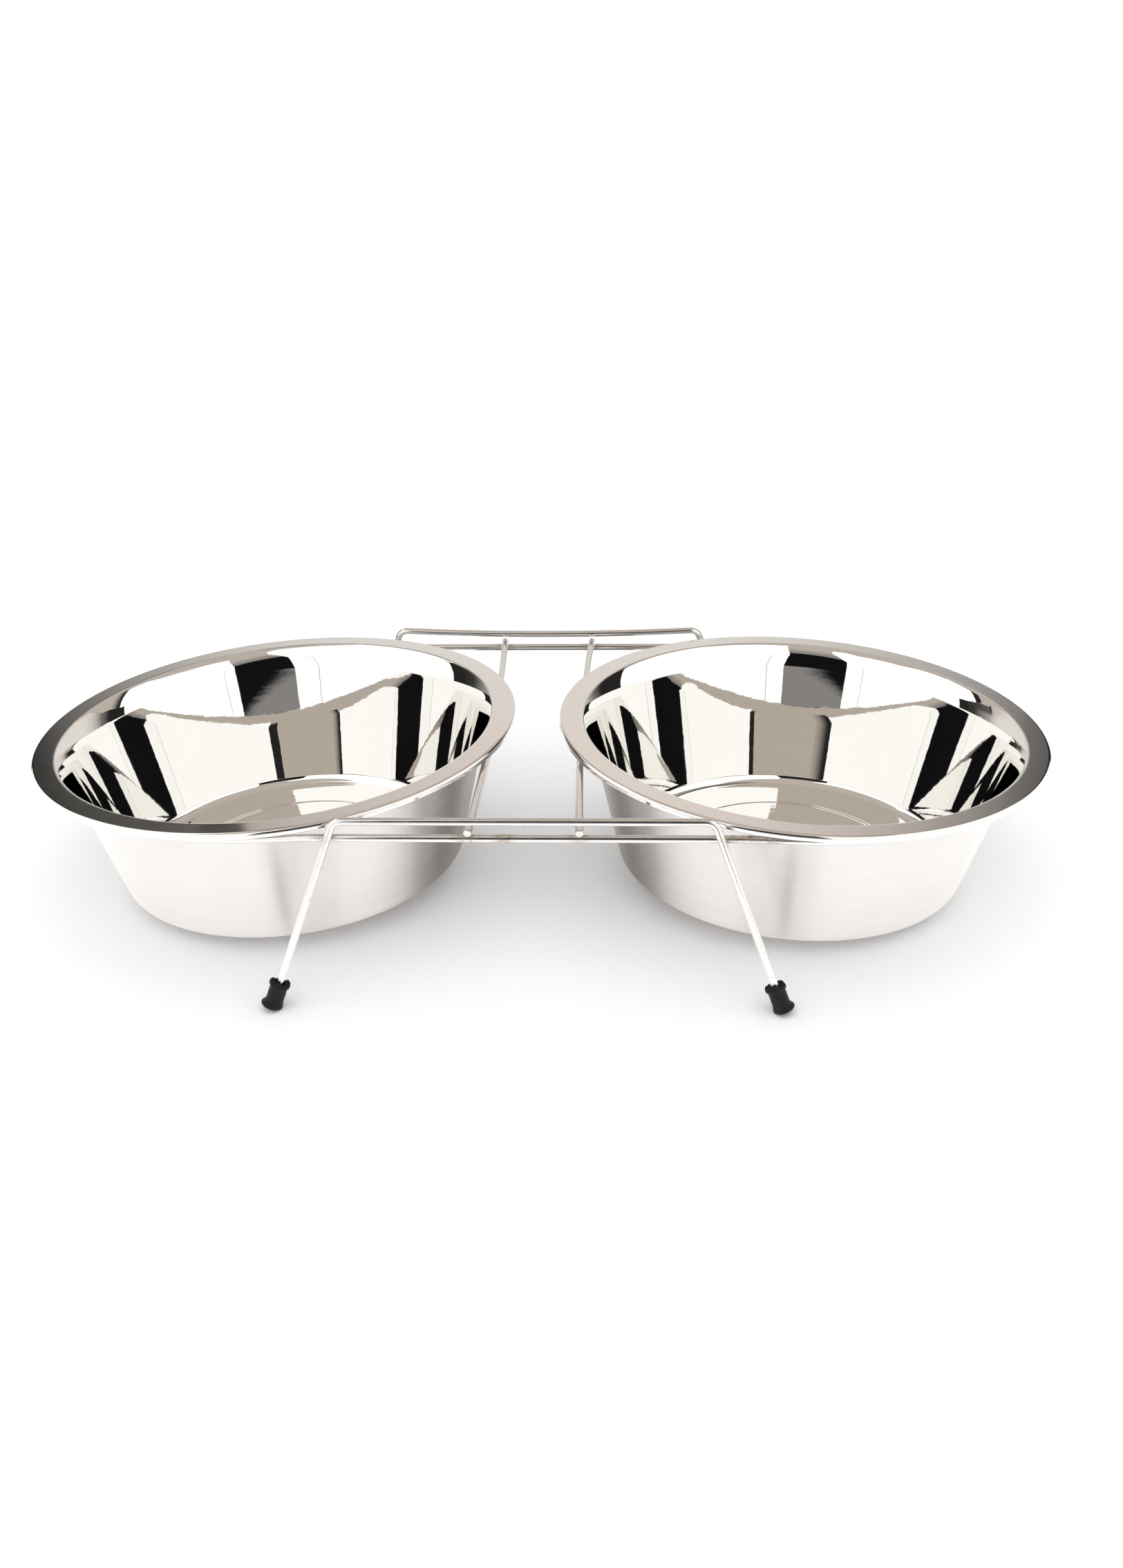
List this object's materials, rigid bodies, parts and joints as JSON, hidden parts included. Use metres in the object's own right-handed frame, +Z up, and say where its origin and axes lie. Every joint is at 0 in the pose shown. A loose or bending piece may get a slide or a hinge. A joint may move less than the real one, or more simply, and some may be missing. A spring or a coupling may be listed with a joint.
{
  "type": "double pet bowl feeder",
  "caption": "Raised pet feeder: lift-out stainless steel bowls hang side by side in a bent wire stand on splayed legs with rubber feet.",
  "frame": {"origin": "on the floor under the middle of the stand", "axes": "+X along the row of bowls to the right as seen from the front, +Y to the back, +Z up"},
  "size_m": [0.4492, 0.243, 0.0803],
  "materials": {
    "bowl_steel": "mirror polished inside, satin outside",
    "plated_wire": "bright plated",
    "foot_rubber": "matte black"
  },
  "bodies": {
    "stand": {"cradle_loop": "plated_wire", "left_cross_rod": "plated_wire", "right_cross_rod": "plated_wire", "front_leg_wire": "plated_wire", "rear_leg_wire": "plated_wire", "front_left_foot": "foot_rubber", "front_right_foot": "foot_rubber", "rear_left_foot": "foot_rubber", "rear_right_foot": "foot_rubber"},
    "left bowl": {"left_bowl": "bowl_steel"},
    "right bowl": {"right_bowl": "bowl_steel"}
  },
  "joints": [
    {"name": "left_bowl_lift", "type": "slide", "parent": "stand", "child": "left bowl", "axis": [0, 0, 1], "range_m": [0, 0.1]},
    {"name": "right_bowl_lift", "type": "slide", "parent": "stand", "child": "right bowl", "axis": [0, 0, 1], "range_m": [0, 0.1]}
  ]
}
